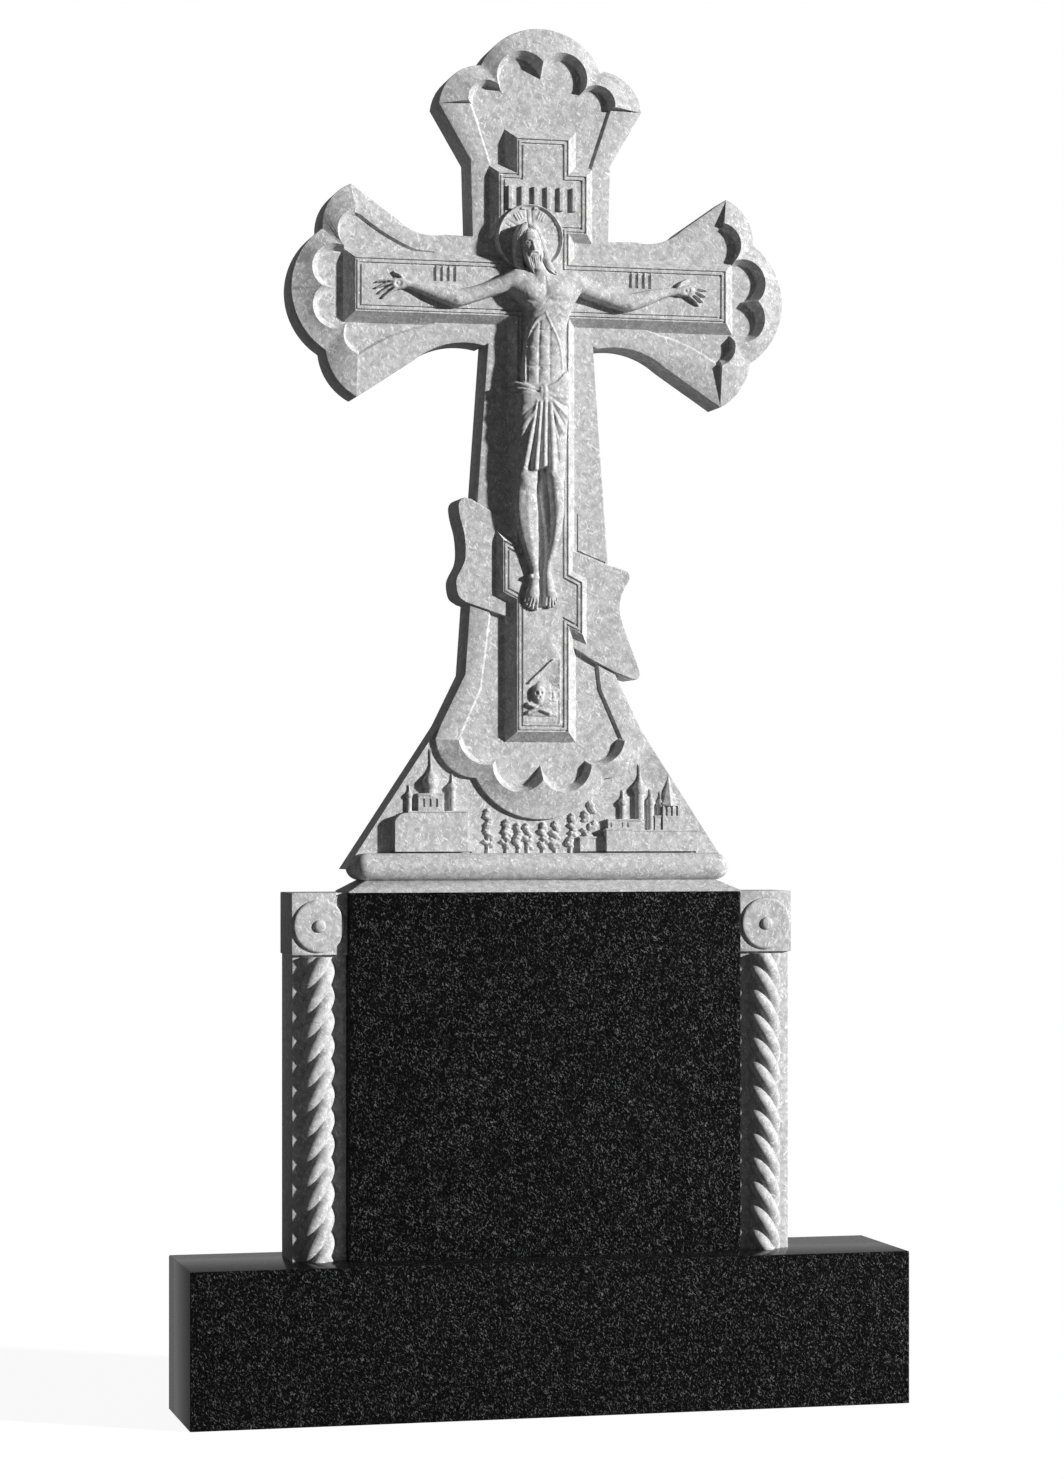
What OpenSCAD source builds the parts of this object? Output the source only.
// Carved orthodox cross headstone on a name block with rope pilasters.
// Five separate stones: plinth, name block, two pilasters and a cross carved from one slab.
// X runs across the stone, Y runs from the front (negative) to the back, Z is up. Sizes are mm.

/* [Plinth] */
// Width of the plinth stone
plinth_width = 1000; // [600:10:1600]
// Depth of the plinth stone, front to back
plinth_depth = 200; // [120:5:400]
// Height of the plinth stone
plinth_height = 210; // [80:5:400]
// Small bevel on every long edge of the plinth
plinth_bevel = 2.5; // [0.5:0.5:10]

/* [Name block] */
// Width of the dark block that takes the inscription
block_width = 551; // [300:5:900]
// Thickness of the name block
block_depth = 100; // [60:5:200]
// Height of the name block
block_height = 497; // [250:5:800]
// Distance from the middle of the plinth back to the common back face of the upper stones
back_face = 61; // [20:1:100]
// Small bevel on the edges of the name block
block_bevel = 1.5; // [0.5:0.5:8]

/* [Pilasters] */
// Width of each pilaster
pilaster_width = 74.5; // [40:0.5:150]
// Thickness of each pilaster without its carving
pilaster_depth = 81; // [40:1:150]
// Height of the square head that carries the rosette
head_height = 84; // [40:1:160]
// How far the square head stands in front of the shaft
head_proud = 8; // [0:1:20]
// How far the square head oversails the outer side of the shaft
head_oversail = 2; // [0:0.5:10]
// Radius of the round rosette
rosette_radius = 36; // [15:0.5:60]
// Height of the rosette above the square head
rosette_height = 4; // [1:0.5:12]
// Radius of the rosette's middle boss
boss_radius = 8; // [3:0.5:20]
// Radius of the twisted rope column
rope_radius = 24; // [10:0.5:35]
// Number of strands laid in the rope
rope_strands = 4; // [3:1:9]
// Rise of one full turn of a strand
rope_lead = 133; // [80:1:400]

/* [Cross] */
// Height of the cross above the name block
cross_height = 1186; // [700:1:1600]
// Thickness of the cross slab
slab_depth = 61; // [40:1:120]
// Depth of the sunk field inside the plain borders
field_depth = 3.5; // [1:0.5:15]
// Depth of the landscape panel below the lobed end
panel_depth = 6; // [4:0.5:25]
// Height of the lobed borders at their inner crest
crest_height = 10; // [2:0.5:25]
// Height of the lobed borders at the middle cusp
cusp_height = 17; // [4:0.5:30]
// Width of the sloping wall below a crest
crest_slope = 9; // [3:0.5:20]
// Width of the sloping wall below the middle cusp
cusp_slope = 21; // [6:0.5:35]
// Height of the raised inner cross above the plain borders
inner_height = 12.5; // [4:0.5:25]
// Width of the bevel round the raised inner cross
inner_bevel = 14; // [4:0.5:25]
// Thickness of the wavy slanting board in front of the borders
board_proud = 3; // [0:0.5:10]
// Slope of the board and of the footrest, degrees
board_slope = 27; // [10:1:40]

/* [Foot of the cross] */
// Height of the sloped foot standing on the name block
foot_height = 16; // [8:1:40]
// Radius of the round moulding above the foot
roll_radius = 18.5; // [8:0.5:30]
// Half width of the round moulding
roll_half = 265; // [150:1:400]

/* [Figure] */
// Scale of the figure's relief depth
figure_relief = 1; // [0.6:0.05:1.3]
// Number of sides on the figure's limbs
limb_sides = 8; // [8:2:24]

/* [Hidden] */
// Front faces and the level on which the cross stands
block_front = back_face - block_depth;
pilaster_front = back_face - pilaster_depth;
slab_front = back_face - slab_depth;
block_top = plinth_height + block_height;
// Colours of the stones
stone_grey = [0.66, 0.66, 0.66];
stone_black = [0.09, 0.09, 0.1];
// How far one shape runs into the next, and how deep a carved border is rooted in the slab
overlap = 4;
sink = 6;
// The borders start this far inside the slab's edge, and the field's edge lies this share down the wall
rim_inset = 0.4;
half_way = 0.5;
// Levels of the inner cross's face, the sunk field and the landscape panel
face_y = slab_front - inner_height;
field_y = slab_front + field_depth;
panel_y = slab_front + panel_depth;

// One record for each half of a lobed end:
// [outer corner, outer notch, outer apex, small bulge, big bulge,
//  inner corner, inner joint, middle cusp, small bulge, big bulge, middle of the field]
top_end = [[143.5, 1077], [84.3, 1132], [0, cross_height], 15.5, 14.8,
           [104, 1082], [61.5, 1105], [0, 1138], 16, 31, [0, 1030]];
arm_upper = [[266, 962], [305.3, 899.8], [347.6, 817.5], 12, 11.5,
             [261, 928], [277, 877], [308, 820.5], 15.8, 27.5, [250, 818]];
arm_lower = [[257.7, 672.7], [301, 735.3], [347.6, 817.5], 9.5, 12,
             [258, 730.5], [276, 765], [308, 820.5], 8, 27, [250, 818]];
low_end = [[148.3, 209], [91, 155.5], [0, 99], 15, 15.3,
           [117.7, 207.5], [70, 174], [0, 153], 12, 26.6, [0, 235]];
// Steps along the small and the big arc of each lobed edge, and sides of the smallest carving
small_steps = 4;
big_steps = 6;
small_sides = 6;

// ---------------------------------------------------------------- helpers

// Unit vector from p to q.
function unit(p, q) = (q - p) / norm(q - p);

// Points of an arc from p towards q, q left out; a positive bulge lies left of the path.
function arc(p, q, bulge, n) =
    let (d = unit(p, q), side = [-d[1], d[0]], half = 2 * atan(2 * abs(bulge) / norm(q - p)))
    bulge == 0 ? [p] :
    let (r = norm(q - p) / 2 / sin(half), up = side * sign(bulge), c = (p + q) / 2 - up * r * cos(half))
    [for (k = [0 : n - 1]) let (a = half * (2 * k / n - 1)) c + r * (up * cos(a) + d * sin(a))];

// The same points in reverse order, and mirrored to the other side as well.
function reversed(p) = [for (k = [len(p) - 1 : -1 : 0]) p[k]];
function mirrored(p) = [for (k = [len(p) - 1 : -1 : 0]) [-p[k][0], p[k][1]]];

// Outer and inner edge of half a lobed end; turn is +1 or -1 for the side the lobes bulge to.
function outer_edge(e, turn) = concat(
    arc(e[0], e[1], turn * e[3], small_steps),
    arc(e[1], e[2], turn * e[4], big_steps), [e[2]]);
function inner_edge(e, turn) = concat(
    arc(e[5], e[6], turn * e[8], small_steps),
    arc(e[6], e[7], turn * e[9], big_steps), [e[7]]);

// Share of the middle cusp at step k, 0 away from it and 1 at its tip.
function cusp_share(k) = max(0, (k - small_steps - big_steps / 2) / (big_steps / 2));
// How far the sloping wall runs inwards at step k, and how high its crest stands.
function wall_run(k) = crest_slope + (cusp_slope - crest_slope) * pow(cusp_share(k), 2);
function wall_rise(k) = crest_height + (cusp_height - crest_height) * pow(cusp_share(k), 2);

// Foot of the sloping wall inside the crest, or a line the given share of the way down to it.
function foot_edge(e, turn, share = 1) = let (crest = inner_edge(e, turn))
    [for (k = [0 : len(crest) - 1]) crest[k] + share * wall_run(k) * unit(crest[k], e[10])];

// A flat shape drawn in X and Z, pushed from y0 to y1.
module slice(y0, y1) {
    translate([0, y1, 0])
        rotate([90, 0, 0])
            linear_extrude(height = y1 - y0)
                children();
}

// A box with all its long edges bevelled, standing on z = 0.
module dressed_box(x0, x1, y0, y1, height, bevel) {
    hull() {
        translate([x0 + bevel, y0 + bevel, 0]) cube([x1 - x0 - 2 * bevel, y1 - y0 - 2 * bevel, height]);
        translate([x0, y0 + bevel, 0]) cube([x1 - x0, y1 - y0 - 2 * bevel, height - bevel]);
        translate([x0 + bevel, y0, 0]) cube([x1 - x0 - 2 * bevel, y1 - y0, height - bevel]);
    }
}

// A tapered limb between two balls.
module limb(a, ra, b, rb, sides = limb_sides) {
    hull() {
        translate(a) sphere(r = ra, $fn = sides);
        translate(b) sphere(r = rb, $fn = sides);
    }
}

// A ball stretched by s.
module lump(at, s, sides = limb_sides) {
    translate(at) scale(s) sphere(r = 1, $fn = sides);
}

// Depth in front of the inner cross face.
function out(depth) = face_y - depth * figure_relief;

// ---------------------------------------------------------------- plinth, block, pilasters

// The wide stone on the ground.
module plinth() {
    color(stone_black)
        dressed_box(-plinth_width / 2, plinth_width / 2, -plinth_depth / 2, plinth_depth / 2,
                    plinth_height, plinth_bevel);
}

// The polished block that the cross stands on.
module name_block() {
    color(stone_black)
        translate([0, 0, plinth_height])
            dressed_box(-block_width / 2, block_width / 2, block_front, back_face,
                        block_height, block_bevel);
}

// Cross-section of the rope: one rounded lobe for each strand.
rope_groove = 0.2;
lobe_steps = 3;
slices_per_turn = 9;
function rope_outline() = [for (k = [0 : rope_strands * lobe_steps - 1])
    let (a = 360 * k / (rope_strands * lobe_steps), t = k % lobe_steps / lobe_steps,
         r = rope_radius * (1 - rope_groove * (1 - sin(180 * t))))
    [r * cos(a), r * sin(a)]];

// Front half of the rope column, its strands laid to the left.
module rope(length) {
    turns = length / rope_lead;
    intersection() {
        linear_extrude(height = length, twist = 360 * turns, slices = round(turns * slices_per_turn))
            polygon(rope_outline());
        translate([-rope_radius, -rope_radius, 0]) cube([2 * rope_radius, rope_radius + overlap, length]);
    }
}

// Round rosette with a bevelled rim and a flattened middle boss.
rosette_drop = 3;
boss_flatness = 0.7;
module rosette() {
    rim = rosette_height / 2;
    rotate([90, 0, 0]) {
        cylinder(h = rosette_height - rim, r = rosette_radius, $fn = 40);
        translate([0, 0, rosette_height - rim])
            cylinder(h = rim, r1 = rosette_radius, r2 = rosette_radius - rim, $fn = 40);
        translate([0, 0, rosette_height - rim])
            scale([1, 1, boss_flatness])
                sphere(r = boss_radius, $fn = 16);
    }
}

// One pilaster; side is -1 for the left one and +1 for the right one.
module pilaster(side) {
    inner = block_width / 2;
    shaft_height = block_height - head_height;
    carving_x = inner + pilaster_width / 2 + head_oversail;
    color(stone_grey)
        translate([0, 0, plinth_height])
            mirror([side < 0 ? 1 : 0, 0, 0]) {
                translate([inner, pilaster_front, 0])
                    cube([pilaster_width, pilaster_depth, block_height]);
                translate([inner, pilaster_front - head_proud, shaft_height])
                    cube([pilaster_width + head_oversail, pilaster_depth + head_proud, head_height]);
                translate([carving_x, pilaster_front - head_proud,
                           shaft_height + head_height / 2 - rosette_drop])
                    rosette();
                translate([carving_x, pilaster_front + overlap, 0])
                    rope(shaft_height + overlap);
            }
}

// ---------------------------------------------------------------- cross slab

// Where the shaft widens into the panel, and the shaft's and the neck's own corners.
panel_shoulder = [[141, 228], [106.6, 297.6]];
shaft_top = [74.4, 751];
arm_root = [80.4, 748];
neck = [99, 1002];

// Right half of the cross outline from the bottom middle up to the top middle.
function cross_half() = concat(
    mirrored([for (p = outer_edge(low_end, 1)) [-p[0], p[1]]]),
    panel_shoulder, [shaft_top],
    arc(arm_root, [178, 725], 12, 7),
    outer_edge(arm_lower, -1),
    mirrored([for (p = outer_edge(arm_upper, 1)) [-p[0], p[1]]]),
    arc([203, 917.5], [135, 897.8], 9, 6),
    [[135, 897.8], [96, 897]],
    [neck],
    outer_edge(top_end, -1));

// The whole outline of the slab.
module cross_outline() {
    half = cross_half();
    polygon(concat(half, mirrored(half)));
}

// Ground of the landscape panel: a tapering block from the shaft down to the foot.
panel_foot = [271, 31];
module panel_outline() {
    half = concat([panel_foot], panel_shoulder);
    polygon(concat(half, mirrored(half)));
}

// Sunk field of one end, up to the foot of its sloping walls.
module arm_field() {
    upper = foot_edge(arm_upper, 1, half_way);
    lower = foot_edge(arm_lower, -1, half_way);
    polygon(concat([[150, 874]], arc([178, 877], [261, 928], -4, 4), upper,
                   reversed(lower),
                   arc([256, 728], [154, 771.5], -7, 5), [[150, 776]]));
}

// Sunk field of the top end, open to the neck at its lower corners.
top_field_corner = [67, 980];
module end_field(e, turn, corner) {
    half = foot_edge(e, turn, half_way);
    polygon(concat([corner], half, mirrored(half), [[-corner[0], corner[1]]]));
}

// Sunk field of the shaft and of the lobed end below it.
module shaft_field() {
    half = foot_edge(low_end, 1, half_way);
    line = [[117.7, 207.5], [86, 279], [73, 382], [73, 440]];
    inward = reversed(half);
    polygon(concat(inward, line, mirrored(line), mirrored(inward)));
}

// Raised lobed border over half an end, swept from the outer edge over the crest to the field.
module lobed_border(e, turn) {
    rim = outer_edge(e, turn);
    crest = inner_edge(e, turn);
    foot = foot_edge(e, turn);
    n = len(rim);
    points = [for (k = [0 : n - 1])
        let (inward = unit(rim[k], crest[k]), edge = rim[k] + rim_inset * inward,
             root = rim[k] + 2 * sink * inward, low = foot[k] + sink / 4 * unit(crest[k], foot[k])) each [
        [edge[0], slab_front, edge[1]],
        [crest[k][0], slab_front - wall_rise(k), crest[k][1]],
        [low[0], field_y + sink / 6, low[1]],
        [foot[k][0], field_y + sink, foot[k][1]],
        [root[0], slab_front + sink, root[1]]]];
    ring = 5;
    last = (n - 1) * ring;
    faces = concat(
        [for (k = [0 : n - 2], j = [0 : ring - 1]) each
            let (a = k * ring + j, b = k * ring + (j + 1) % ring)
            [[b + ring, b, a], [a + ring, b + ring, a]]],
        [for (j = [1 : 3]) each [[0, j, j + 1], [last + j + 1, last + j, last]]]);
    polyhedron(points = points, faces = turn > 0 ? faces : [for (f = faces) reversed(f)], convexity = 8);
}

// The borders of all the ends, on both sides.
module lobed_borders() {
    for (side = [0, 1])
        mirror([side, 0, 0]) {
            lobed_border(top_end, -1);
            lobed_border(arm_upper, 1);
            lobed_border(arm_lower, -1);
            lobed_border(low_end, 1);
        }
}

// ---------------------------------------------------------------- board and raised inner cross

// Both ends of the board, from the middle outwards and back: its top edge, wavy end and lower edge.
board_left = [[0, 478], [-54.8, 512], [-98.8, 537.5], [-109.6, 539], [-117, 531], [-115.6, 513.6],
              [-109.5, 490], [-107.5, 465], [-110, 449], [-118.5, 432], [-120.5, 421], [-117, 404],
              [-106.5, 395.5], [0, 364]];
board_right = [[0, 364], [74, 317.5], [106.6, 301.3], [128, 293.2], [136, 292.6], [141, 301.6],
               [131, 330], [117.6, 366], [113, 384], [112.9, 402], [118.6, 418], [126.4, 432],
               [124, 441], [117.6, 443.7], [92.7, 450.8], [54.2, 465], [0, 492]];

// The wavy slanting board across the shaft.
module board() {
    for (half = [board_left, board_right])
        slice(slab_front - board_proud, back_face)
            polygon(half);
}

// The bars of the inner cross: [x0, x1, z0, z1].
stub_bar = [-36.5, 36.5, 960, 1032.5];
title_bar = [-62, 62, 904, 984];
cross_bar = [-262, 262, 788, 861];
upright_bar = [-36.5, 36.5, 219, 1000];
plain_bars = [stub_bar, title_bar, cross_bar, upright_bar];
rest_half = 56;
rest_height = 72;
rest_z = 418;
border_flat = 4;
border_groove = 2.5;
groove_depth = 1.5;
face_skin = 0.01;

// A bar grown by g on every side, drawn flat.
module flat_bar(bar, g) {
    translate([bar[0] - g, bar[2] - g])
        square([bar[1] - bar[0] + 2 * g, bar[3] - bar[2] + 2 * g]);
}

// The slanting footrest grown by g, drawn flat.
module flat_rest(g) {
    drop = (rest_half + g) * tan(board_slope);
    rise = rest_height / 2 + g / cos(board_slope);
    polygon([[-rest_half - g, rest_z + drop - rise], [rest_half + g, rest_z - drop - rise],
             [rest_half + g, rest_z - drop + rise], [-rest_half - g, rest_z + drop + rise]]);
}

// A raised bar whose sides slope from the first shape at the face down to the second at the field.
module bevelled() {
    hull() {
        slice(face_y, face_y + face_skin) children(0);
        slice(field_y, field_y + overlap) children(1);
    }
}

// All the bars of the inner cross together, grown by g.
module inner_cross_flat(g) {
    for (bar = plain_bars)
        flat_bar(bar, g);
    flat_rest(g);
}

// The raised inner cross with a thin groove inside its edge.
module inner_cross() {
    difference() {
        union() {
            for (bar = plain_bars)
                bevelled() {
                    flat_bar(bar, 0);
                    flat_bar(bar, inner_bevel);
                }
            bevelled() {
                flat_rest(0);
                flat_rest(inner_bevel);
            }
        }
        slice(face_y - 1, face_y + groove_depth)
            difference() {
                inner_cross_flat(-border_flat);
                inner_cross_flat(-border_flat - border_groove);
            }
    }
}

// One raised upright stroke, its foot at x and z.
module stroke(x, z, width, height, proud) {
    translate([x - width / 2, face_y - proud, z])
        cube([width, proud + overlap, height]);
}

// Rows of plain strokes in place of lettering: one on the title bar, one on each arm.
title_count = 6;
title_pitch = 19.2;
arm_pitch = 11;
arm_strokes_x = 138;
module strokes() {
    for (k = [0 : title_count - 1])
        stroke((k - (title_count - 1) / 2) * title_pitch, 945, 5, 25, 2.5);
    for (side = [-1, 1], k = [-1 : 1])
        stroke(side * arm_strokes_x + k * arm_pitch, 832, 2.5, 20, 1.5);
}

// Low relief at the foot of the upright: a skull over crossed bones, and a leaning staff.
skull_x = -10;
module foot_relief() {
    root_y = face_y + 1;
    lump([skull_x, root_y, 270], [9, 6.3, 10.4]);
    lump([skull_x, root_y, 260], [5.5, 4.4, 5.5]);
    for (side = [-1, 1])
        limb([skull_x - side * 15, root_y, 252], 3, [skull_x + side * 15, root_y, 240], 3, small_sides);
    limb([-19, root_y, 288], 1.8, [16, root_y, 318], 1.8, small_sides);
    limb([10, root_y, 235], 1.6, [24, root_y, 290], 1.6, small_sides);
}

// ---------------------------------------------------------------- figure

// Joints of the arms, left and right: [x, y, z].
shoulder = [[-47, out(15), 838], [45, out(15), 838]];
elbow = [[-121, out(11), 809], [118, out(11), 810]];
wrist = [[-188, out(7), 827], [188, out(7), 829]];
palm = [[-205, out(4), 828], [208, out(4), 829]];

// Outstretched arms with four fingers and a thumb each.
module arms() {
    for (k = [0, 1]) {
        limb(shoulder[k], 13.5, elbow[k], 10.5);
        limb(elbow[k], 10.5, wrist[k], 5.2);
        limb(wrist[k], 5.2, palm[k], 6.5);
    }
    for (side = [-1, 1], f = [0 : 3])
        limb([side * 205, out(1.5), 831 - f * 3.5], 2.8,
             [side * (234 - f * 3), out(0.8), 832 - f * 7], 2, small_sides);
    for (side = [-1, 1])
        limb([side * 196, out(1.5), 832], 3, [side * 209, out(0.8), 846], 2, small_sides);
}

// Chest, waist, breasts, belly blocks and neck.
module torso() {
    hull() {
        lump([-17, out(14), 820], [26, 17, 22]);
        lump([22, out(14), 820], [24, 17, 22]);
        lump([3, out(12), 775], [27, 17, 20]);
    }
    hull() {
        lump([3, out(12), 775], [26, 15, 18]);
        lump([0, out(10), 715], [25, 14, 16]);
    }
    for (side = [-1, 1])
        lump([3 + side * 14, out(24), 812], [15, 8, 13]);
    for (row = [0 : 2], side = [-1, 1])
        lump([1 + side * 9, out(21), 778 - row * 22], [9, 6, 11], small_sides);
    limb([-6, out(16), 850], 10, [-10, out(22), 866], 9);
}

// Bowed head with beard, nose and a lock of hair on each side.
head_nod = 16;
head_tilt = 12;
module head() {
    translate([-21, out(25), 889])
        rotate([head_nod, -head_tilt, 0]) {
            lump([0, 0, 0], [17, 18, 23], 14);
            lump([0, -9, -15], [9, 9, 14]);
            lump([0, -16, -2], [3, 5, 8]);
            for (side = [-1, 1])
                limb([side * 14, 2, 6], 8, [side * 19, 8, -26], 7);
        }
}

// Round halo with a raised rim and four rays.
halo_middle = [-18, face_y, 894];
halo_radius = 47;
halo_rim = 5;
halo_dish = 3.5;
ray_width = 1.6;
module halo() {
    rim_proud = halo_dish + 2.5;
    translate(halo_middle) {
        rotate([90, 0, 0])
            difference() {
                translate([0, 0, -1]) cylinder(h = rim_proud + 1, r = halo_radius, $fn = 36);
                translate([0, 0, halo_dish]) cylinder(h = rim_proud, r = halo_radius - halo_rim, $fn = 36);
            }
        for (a = [-50, -20, 20, 50])
            rotate([0, a, 0])
                translate([-ray_width / 2, -halo_dish - 1.5, 14])
                    cube([ray_width, 3, 30]);
    }
}

// Loincloth: a wrapped block with pipe folds hanging from the knot.
fold_feet = [-28, -14, -1, 11, 23];
knot_x = -4;
module cloth() {
    hull() {
        lump([0, out(11), 700], [32, 19, 14]);
        lump([-1, out(10), 600], [30, 18, 20]);
    }
    for (k = [0 : len(fold_feet) - 1])
        limb([knot_x + (k - 2) * 4, out(24), 676], 4, [fold_feet[k], out(23), 588], 4.5);
    for (side = [-1, 1], k = [0 : 1])
        limb([knot_x + side * 6, out(26), 682], 3.5,
             [side * 30, out(18), 690 - k * 26], 3.5, small_sides);
    lump([knot_x, out(29), 682], [8, 7, 9]);
    hull() {
        lump([knot_x - 4, out(26), 683], [4, 4, 4], small_sides);
        lump([-40, out(10), 694], [4, 3, 4], small_sides);
        lump([-32, out(14), 666], [4, 3, 4], small_sides);
    }
}

// One leg: x of its hip, knee, calf, ankle, and of the outer and inner ball of its foot.
module leg(hip, knee, calf, ankle, ball_a, ball_b) {
    toe_pitch = 6;
    limb([hip, out(13), 600], 15, [knee, out(19), 558], 13.5);
    limb([knee, out(17), 556], 12.5, [calf, out(13), 520], 13.5);
    limb([calf, out(13), 520], 13.5, [ankle, out(8), 440], 7.5);
    hull() {
        lump([ankle, out(8), 438], [7.5, 7.5, 7.5]);
        lump([ball_a, out(16), 398], [6, 6, 6]);
        lump([ball_b, out(15), 395], [6, 6, 6]);
    }
    for (toe = [0 : 2])
        limb([ball_a - 3 + toe * toe_pitch, out(17), 396], 2.6,
             [ball_a - 3 + toe * toe_pitch, out(15), 387], 2.6, small_sides);
}

// The legs side by side, the feet nailed apart on the footrest.
module legs() {
    leg(-20, -22, -20, -15, -19, -10);
    leg(18, 16, 14, 8, 7, 13);
}

// The whole figure with its halo.
module figure() {
    arms();
    torso();
    head();
    halo();
    cloth();
    legs();
}

// ---------------------------------------------------------------- landscape panel

// A small onion dome on a drum; w is the drum radius.
module cupola(x, z0, z1, w) {
    translate([x, panel_y, z0]) cylinder(h = z1 - z0, r = w, $fn = 8);
    translate([x, panel_y, z1 + w]) scale([1.35, 1.2, 1.2]) sphere(r = w, $fn = 8);
    translate([x, panel_y, z1 + 1.8 * w]) cylinder(h = 2.6 * w, r1 = w * 0.7, r2 = 0.3, $fn = 6);
}

// A block of wall between x0 and x1, z0 and z1, standing proud of the panel.
module wall_block(x0, x1, z0, z1, proud) {
    translate([x0, panel_y - proud, z0]) cube([x1 - x0, proud + overlap, z1 - z0]);
}

// A domed church with a round apse, on the left.
panel_ground = 53;
module left_church() {
    wall_block(-188, -104, panel_ground, 110, 10);
    wall_block(-172, -138, 108, 134, 7);
    cupola(-154, 130, 141, 8);
    cupola(-184, 108, 128, 3);
    cupola(-124, 108, 138, 4);
    translate([-189, panel_y + overlap, 84])
        rotate([90, 0, 0])
            cylinder(h = 14, r = 17, $fn = 16);
    wall_block(-206, -172, panel_ground, 85, 14);
}

// A walled group with cupolas and a tent roof, on the right.
module right_towers() {
    wall_block(91, 223, panel_ground, 84, 9);
    wall_block(56, 93, panel_ground, 75, 6);
    wall_block(96.5, 148, 82, 99, 7);
    wall_block(92, 127.5, panel_ground, 86, 14);
    cupola(118, 88, 118, 5);
    cupola(142, 94, 134, 6);
    cupola(170, 82, 116, 4);
    wall_block(174, 198.5, 82, 118, 8);
    translate([184, panel_y, 117]) cylinder(h = 36, r1 = 12, r2 = 0.6, $fn = 8);
    wall_block(204, 214, 82, 98, 6);
}

// A row of trees between them: middles and heights of their tops.
tree_x = [-74, -48, -30, -17, 4, 22, 43, 72];
tree_top = [116, 101, 97, 97, 97, 99, 110, 132];
trunk_half = 2;
trunk_proud = 2.3;
module trees() {
    for (k = [0 : len(tree_x) - 1]) {
        x = tree_x[k];
        rise = tree_top[k] - panel_ground;
        wall_block(x - trunk_half, x + trunk_half, panel_ground - overlap,
                   panel_ground + rise / 2, trunk_proud);
        lump([x, panel_y - 1, panel_ground + rise * 0.42], [8.5, 7, rise * 0.24], small_sides);
        lump([x, panel_y - 1, panel_ground + rise * 0.78], [6.5, 6, rise * 0.28], small_sides);
    }
}

// ---------------------------------------------------------------- foot

// The foot slopes in from the block's edge; a round moulding with ball ends runs above it.
foot_slope = 29;
foot_step = 14;
foot_lip = 1.5;
roll_proud = 10;
roll_core = 6;
module foot() {
    top_width = block_width - 2 * foot_slope;
    hull() {
        translate([-block_width / 2, block_front, 0])
            cube([block_width, back_face - block_front, foot_lip]);
        translate([-top_width / 2, slab_front - foot_step, foot_height - 1])
            cube([top_width, back_face - slab_front + foot_step, 1]);
    }
    translate([roll_core - roll_half, slab_front - roll_proud, foot_height - 1])
        cube([2 * (roll_half - roll_core), back_face - slab_front + roll_proud, 2 * roll_radius]);
    hull()
        for (x = [-1, 1], y = [slab_front - roll_proud, back_face - roll_radius])
            translate([x * (roll_half - roll_radius), y, foot_height + roll_radius])
                sphere(r = roll_radius, $fn = 16);
}

// The carved cross, one stone from its foot to its top.
module cross() {
    color(stone_grey)
        translate([0, 0, block_top]) {
            difference() {
                union() {
                    slice(slab_front, back_face) cross_outline();
                    slice(panel_y, back_face) panel_outline();
                }
                slice(slab_front - 1, field_y) {
                    arm_field();
                    mirror([1, 0]) arm_field();
                    end_field(top_end, -1, top_field_corner);
                    shaft_field();
                }
            }
            lobed_borders();
            board();
            inner_cross();
            strokes();
            foot_relief();
            figure();
            left_church();
            right_towers();
            trees();
            foot();
        }
}

// ---------------------------------------------------------------- pieces

plinth();
name_block();
pilaster(-1);  // left_pilaster
pilaster(1);  // right_pilaster
cross();
